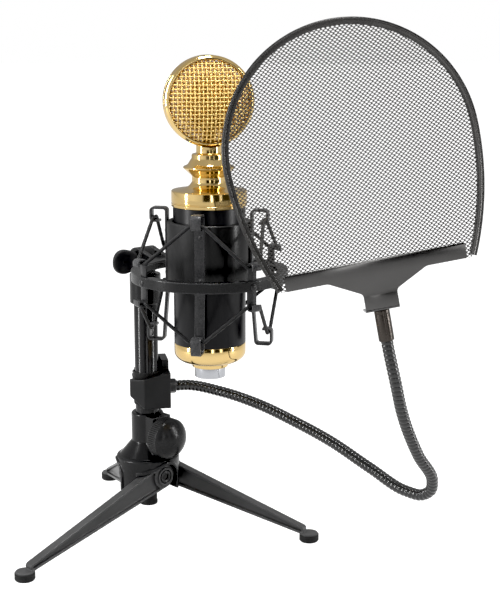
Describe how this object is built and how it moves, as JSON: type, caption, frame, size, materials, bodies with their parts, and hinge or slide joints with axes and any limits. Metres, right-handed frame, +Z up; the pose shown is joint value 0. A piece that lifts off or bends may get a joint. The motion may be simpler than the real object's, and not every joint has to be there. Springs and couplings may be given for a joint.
{
  "type": "desktop microphone",
  "caption": "Side-address studio microphone in an elastic shock mount on a folding table tripod, with a pop filter on a gooseneck clamped to the upright rod.",
  "frame": {"origin": "centre of the outline box on the desk plane, between the three feet", "axes": "+Z up; -Y is the side the pop filter and the head face; +X is the side the gooseneck leaves to"},
  "size_m": [0.2876, 0.2463, 0.354],
  "materials": {
    "black_enamel": "gloss",
    "rod_enamel": "gloss",
    "black_oxide_steel": "satin",
    "screw_steel": "satin",
    "foot_rubber": "matte",
    "knob_plastic": "gloss",
    "clamp_plastic": "satin",
    "hose_coat": "gloss",
    "ferrule_nickel": "gloss",
    "filter_rim": "gloss",
    "filter_mesh": "satin",
    "filter_bracket": "gloss",
    "cradle_textured": "matte",
    "cradle_smooth": "gloss",
    "cord": "matte",
    "mic_black": "satin",
    "gold": "polished",
    "gold_mesh": "satin",
    "connector_chrome": "polished",
    "insert_plastic": "matte",
    "pin_gold": "polished",
    "capsule_brass": "satin",
    "saddle_plastic": "matte",
    "chassis": "satin",
    "board": "satin"
  },
  "bodies": {
    "base": {"hub": "black_enamel", "leg_screws": "black_oxide_steel"},
    "leg_a": {"leg_a": "black_enamel", "foot_a": "foot_rubber"},
    "leg_b": {"leg_b": "black_enamel", "foot_b": "foot_rubber"},
    "leg_c": {"leg_c": "black_enamel", "foot_c": "foot_rubber"},
    "height_screw": {"height_screw": "screw_steel", "height_pad": "foot_rubber"},
    "height_knob": {"height_knob": "knob_plastic"},
    "rod": {"rod": "rod_enamel", "rod_plug": "foot_rubber"},
    "clamp_sleeve": {"clamp_sleeve": "foot_rubber"},
    "clamp": {"clamp_body": "clamp_plastic", "hose_nut": "screw_steel", "hose_root": "hose_coat"},
    "clamp_screw": {"clamp_screw": "screw_steel", "clamp_pad": "foot_rubber"},
    "clamp_knob": {"clamp_knob": "knob_plastic"},
    "neck_1": {"hose_1": "hose_coat"},
    "neck_2": {"hose_2": "hose_coat"},
    "neck_3": {"hose_3": "hose_coat"},
    "neck_4": {"hose_4": "hose_coat", "hose_ferrule": "ferrule_nickel", "filter_screw": "screw_steel"},
    "filter": {"filter_rim": "filter_rim", "filter_mesh": "filter_mesh", "filter_bracket": "filter_bracket", "filter_back_strip": "filter_bracket"},
    "mount_base": {"mount_barrel": "black_oxide_steel"},
    "tilt_head": {"mount_ring": "black_oxide_steel", "ring_posts": "black_oxide_steel", "post_rivets": "black_oxide_steel", "tilt_bolt": "black_oxide_steel", "cord_upper": "cord", "cord_lower": "cord"},
    "tilt_lever": {"tilt_lever": "knob_plastic"},
    "cradle": {"cradle_shell_left": "cradle_textured", "cradle_shell_right": "cradle_smooth", "cradle_arms": "black_oxide_steel", "cradle_rivets": "black_oxide_steel"},
    "mic": {"body_tube": "mic_black", "bottom_cap": "gold", "connector_shell": "connector_chrome", "connector_insert": "insert_plastic", "connector_pins": "pin_gold", "top_collar": "gold", "head_neck": "gold", "head_rim": "gold", "grille_front": "gold_mesh", "grille_back": "gold_mesh", "capsule": "capsule_brass", "capsule_saddle": "saddle_plastic", "chassis_frame": "chassis", "circuit_board": "board"}
  },
  "joints": [
    {"name": "leg_a_fold", "type": "hinge", "parent": "base", "child": "leg_a", "pos_m": [-0.05379, -0.00136, 0.044], "axis": [0.6713, -0.7412, 0], "range_deg": [0, 70]},
    {"name": "leg_b_fold", "type": "hinge", "parent": "base", "child": "leg_b", "pos_m": [-0.0592, 0.0237, 0.044], "axis": [0.3062, 0.952, 0], "range_deg": [0, 70]},
    {"name": "leg_c_fold", "type": "hinge", "parent": "base", "child": "leg_c", "pos_m": [-0.0782, 0.00649, 0.044], "axis": [-0.9775, -0.2108, 0], "range_deg": [0, 70]},
    {"name": "height_screw_travel", "type": "slide", "parent": "base", "child": "height_screw", "axis": [0.6971, -0.717, 0], "range_m": [0, 0.00187]},
    {"name": "height_knob_turn", "type": "hinge", "parent": "height_screw", "child": "height_knob", "pos_m": [-0.04839, -0.00616, 0.072], "axis": [0.6971, -0.717, 0], "range_deg": [0, 540]},
    {"name": "rod_height", "type": "slide", "parent": "base", "child": "rod", "axis": [0, 0, 1], "range_m": [-0.0025, 0.034]},
    {"name": "clamp_height", "type": "slide", "parent": "rod", "child": "clamp_sleeve", "axis": [0, 0, 1], "range_m": [-0.002, 0.03]},
    {"name": "clamp_swing", "type": "hinge", "parent": "clamp_sleeve", "child": "clamp", "pos_m": [-0.06373, 0.00961, 0.104], "axis": [0, 0, 1], "range_deg": [-45, 45]},
    {"name": "clamp_screw_travel", "type": "slide", "parent": "clamp", "child": "clamp_screw", "axis": [-0.1736, 0.9848, 0], "range_m": [0, 0.00119]},
    {"name": "clamp_knob_turn", "type": "hinge", "parent": "clamp_screw", "child": "clamp_knob", "pos_m": [-0.06807, 0.03423, 0.106], "axis": [-0.1736, 0.9848, 0], "range_deg": [0, 540]},
    {"name": "neck_turn", "type": "hinge", "parent": "clamp", "child": "neck_1", "pos_m": [-0.03615, 0.01447, 0.104], "axis": [0, 0, 1], "range_deg": [-12, 12]},
    {"name": "neck_raise", "type": "hinge", "parent": "neck_1", "child": "neck_2", "pos_m": [0.03677, -0.01439, 0.0868], "axis": [-0.6267, -0.7793, 0], "range_deg": [-10, 10]},
    {"name": "neck_loop", "type": "hinge", "parent": "neck_2", "child": "neck_3", "pos_m": [0.12047, -0.08439, 0.063], "axis": [-0.603, -0.6199, -0.5022], "range_deg": [-10, 10]},
    {"name": "neck_nod", "type": "hinge", "parent": "neck_3", "child": "neck_4", "pos_m": [0.09397, -0.11459, 0.14], "axis": [1, 0, 0], "range_deg": [-10, 25]},
    {"name": "filter_swivel", "type": "hinge", "parent": "neck_4", "child": "filter", "pos_m": [0.0846, -0.11219, 0.18559], "axis": [-0.1781, 0.0827, 0.9805], "range_deg": [-60, 60]},
    {"name": "mount_swivel", "type": "hinge", "parent": "rod", "child": "mount_base", "pos_m": [-0.06373, 0.00961, 0.174], "axis": [0, 0, 1], "range_deg": [-60, 60]},
    {"name": "mount_tilt", "type": "hinge", "parent": "mount_base", "child": "tilt_head", "pos_m": [-0.06373, 0.00961, 0.1936], "axis": [-0.7615, -0.6481, 0], "range_deg": [-8, 35]},
    {"name": "tilt_lever_turn", "type": "hinge", "parent": "tilt_head", "child": "tilt_lever", "pos_m": [-0.07591, -0.00076, 0.1936], "axis": [-0.7615, -0.6481, 0], "range_deg": [0, 100]},
    {"name": "cradle_float", "type": "slide", "parent": "tilt_head", "child": "cradle", "axis": [0, 0, 1], "range_m": [-0.004, 0.004], "stiffness_N_per_m": 1800, "springref_m": 0.00327, "deforming": ["cord_upper", "cord_lower"]},
    {"name": "mic_lift", "type": "slide", "parent": "cradle", "child": "mic", "axis": [0, 0, 1], "range_m": [-0.006, 0.04]}
  ],
  "couplings": [
    {"joint": "height_knob_turn", "follows": "height_screw_travel", "rad_per_m": 5026.5},
    {"joint": "clamp_knob_turn", "follows": "clamp_screw_travel", "rad_per_m": 7854}
  ]
}
